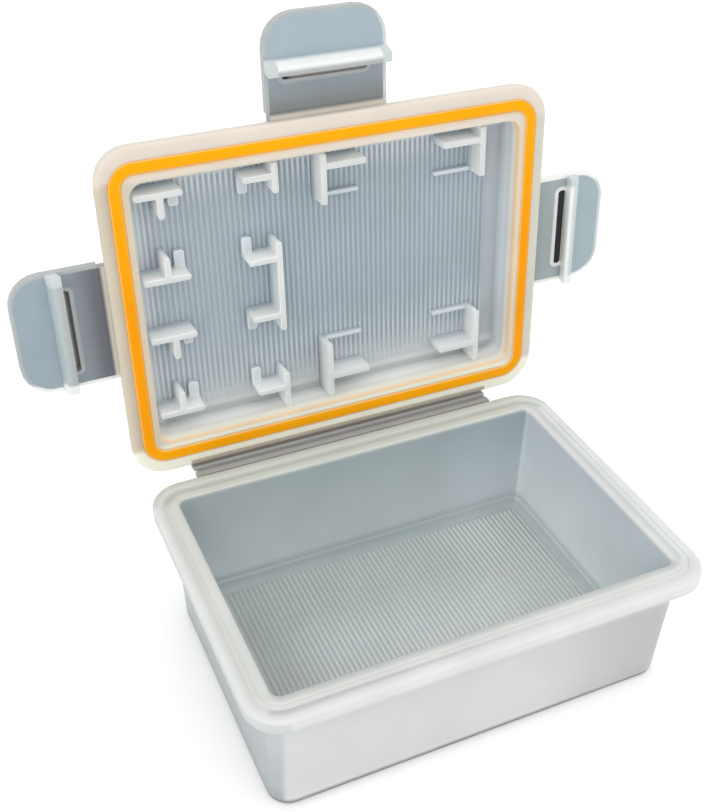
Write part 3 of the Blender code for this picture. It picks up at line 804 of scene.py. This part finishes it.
def slot_shade(side):
    """A thin web in the slot: a dark sheet put there as painted shade, for the dark that shows through it.
    """
    depth = SHADE_DEPTHS[side]
    low = [centre - half for centre, half in zip(SLOT_CENTRE, SLOT_HALF)] + [depth]
    high = [centre + half for centre, half in zip(SLOT_CENTRE, SLOT_HALF)] + [depth + SHADE_THICKNESS]
    piece = own_mesh(box_mesh(low, high), "slot_shade_" + side, slot_dark(side), latch_frame(side))
    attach(piece, side + "_latch_body")


def stretch_film(bm, place):
    """Let a latch's film meet the rim and end level with the flap's flanks, as its solid doesn't."""
    bm.transform(place.inverted())
    bmesh.ops.scale(bm, vec=FILM_STRETCH, verts=bm.verts)
    bm.transform(place)


def film_strip(name, node, material, ends, latch_place=None):
    """A strip in place of a film: a flat plate cut into slices along its short way."""
    bm = from_node(node)
    if latch_place:
        stretch_film(bm, latch_place)
    bmesh.ops.triangulate(bm, faces=bm.faces)
    bmesh.ops.join_triangles(bm, faces=bm.faces, angle_face_threshold=0.1, angle_shape_threshold=3.0)
    along = ends[1] - ends[0]
    for step in range(1, FILM_SLICES):
        point = ends[0] + along * step / FILM_SLICES
        geometry = bm.verts[:] + bm.edges[:] + bm.faces[:]
        bmesh.ops.bisect_plane(bm, geom=geometry, plane_co=point, plane_no=along)
    piece = own_mesh(bm, name, material)
    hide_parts(node)
    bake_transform(piece)


def seen_directly(tree):
    """1 where a surface is seen by the camera, in gloss or through something clear, and 0 in its light."""
    rays = wire(tree, "ShaderNodeLightPath")
    seen = rays["Is Camera Ray"]
    for kind in ("Is Glossy Ray", "Is Transmission Ray"):
        seen = wire(tree, "ShaderNodeMath", [seen, rays[kind]], operation="MAXIMUM")[0]
    return seen


def floor_and_light():
    """A plain white floor, a pale surround and soft lamps."""
    bm = bmesh.new()
    bmesh.ops.create_grid(bm, x_segments=1, y_segments=1, size=FLOOR_SIZE)
    material, tree, shader = new_material("white paper floor")
    lift = wire(tree, "ShaderNodeMapRange", {"Value": seen_directly(tree), "To Max": FLOOR_LIFT})[0]
    shader.inputs["Base Color"].default_value = linear("#f4f4f4")
    shader.inputs["Roughness"].default_value = 0.9
    shader.inputs["Emission Color"].default_value = (1.0, 1.0, 1.0, 1.0)
    tree.links.new(lift, shader.inputs["Emission Strength"])
    floor = own_mesh(bm, "floor", material, Matrix.Translation((0.0, 0.0, -FLOOR_DROP)))
    world = bpy.data.worlds.new("pale room")
    bpy.context.scene.world = world
    world.use_nodes = True
    tree = world.node_tree
    level = wire(tree, "ShaderNodeMapRange", {
        "Value": seen_directly(tree), "To Min": ROOM_LIGHT, "To Max": 1.0,
    })[0]
    tree.links.new(level, tree.nodes["Background"].inputs["Strength"])
    tree.nodes["Background"].inputs["Color"].default_value = (1.0, 1.0, 1.0, 1.0)
    for name, place, size, watts in LAMPS:
        lamp(name, place, size, watts)


def lamp(name, place, size, watts):
    """A square soft lamp that faces the case."""
    data = bpy.data.lights.new(name, "AREA")
    data.size = size
    data.energy = watts
    light = bpy.data.objects.new(name, data)
    light.location = place
    light.rotation_euler = (LAMP_AIM - Vector(place)).to_track_quat("-Z", "Y").to_euler()
    bpy.context.scene.collection.objects.link(light)


def place_camera():
    """The camera at the photograph's place, solved from the case's straight edges."""
    data = bpy.data.cameras.new("camera")
    data.lens = CAMERA_LENS
    data.sensor_width = 36.0
    data.clip_start = 0.01
    camera = bpy.data.objects.new("camera", data)
    camera.location = CAMERA_PLACE * MM
    camera.rotation_euler = [math.radians(angle) for angle in CAMERA_TURN]
    bpy.context.scene.collection.objects.link(camera)
    bpy.context.scene.camera = camera


def dress_tray(ribs, strap):
    """The tray, its ribs and the strap behind it."""
    stand_for("tray", tray_plastic())
    stand_for("hinge_strap_tray", strap, STRAP_EDGE)
    middle = Matrix.Translation((0.0, sum(TRAY_RIB_ENDS) / 2, TRAY_FLOOR))
    # The crests painted in shade towards the back and the left wall, and a little towards the right
    plastic = rib_plastic(
        "natural polypropylene, tray ribs", TRAY_FRAME, "#eaeeee",
        ("#d3d9d8", 1, 0.0, 9.0), ("#c6cccb", 0, -12.0, -24.0), ("#e6eae8", 0, 8.0, 18.0),
    )
    length = TRAY_RIB_ENDS[1] - TRAY_RIB_ENDS[0]
    rib_field("tray_floor_ribs", ribs, TRAY_RIBS, length, middle, plastic, "tray_body")


def dress_lid(ribs, strap):
    """The lid, its ribs, gasket, strap and card holders."""
    stand_for("lid", lid_plastic())
    stand_for("gasket", silicone(), change=press_into_groove)
    stand_for("hinge_strap_lid", strap, STRAP_EDGE)
    middle = LID_FRAME @ Matrix.Translation((LID_RIB_MIDDLE, sum(LID_RIB_ENDS) / 2, LID_FLOOR))
    # The crests painted lighter towards the lid's ends and its left side, as painted light where shade falls
    plastic = rib_plastic(
        "natural polypropylene, lid ribs", LID_FRAME, "#b2c0c9", ("#b5c2cb", 0, -8.0, -16.0),
        ("#c8d2d8", 1, -5.0, -13.0), ("#dbe3e7", 1, 13.5, 18.5), ("#dbe2e6", 0, -25.0, -28.0),
    )
    length = LID_RIB_ENDS[1] - LID_RIB_ENDS[0]
    rib_field("lid_floor_ribs", ribs, LID_RIBS, length, middle, plastic, "lid_body")
    holders = holder_plastic()
    for node in sorted(frame["nodes"]):
        if "_card_" in node:
            stand_for(node, holders, HOLDER_EDGE, shape_holder)


def dress_latches():
    """The three latches with their slots' edges and painted shade webs, and their bending films."""
    for side in LATCH_PLACES:
        plastic = latch_plastic(side)
        place = latch_frame(side)
        to_latch = place.inverted()
        stand_for(
            "latch_" + side, plastic, LATCH_EDGE,
            plain=lambda point: (to_latch @ point).y < LATCH_ROOT + NEAR,
        )
        slot_frame(side, plastic)
        slot_shade(side)
        ends = (place @ Vector((0.0, -LATCH_ROOT, 0.0)), place @ Vector((0.0, LATCH_ROOT, 0.0)))
        film_strip("latch_bend_" + side, "latch_film_" + side, plastic, ends, place)


def dress_hinge(strap):
    """The thin film that bends between the two straps."""
    ends = [HINGE_AXIS + Vector((0.0, end, 0.0)) for end in HINGE_FILM_ENDS]
    film_strip("hinge_bend", "hinge_film", strap, ends)


bpy.context.scene.view_settings.view_transform = "Standard"
place_camera()
floor_and_light()
rib_row = rib_tree()
strap_material = strap_plastic()
dress_tray(rib_row, strap_material)
dress_lid(rib_row, strap_material)
dress_latches()
dress_hinge(strap_material)
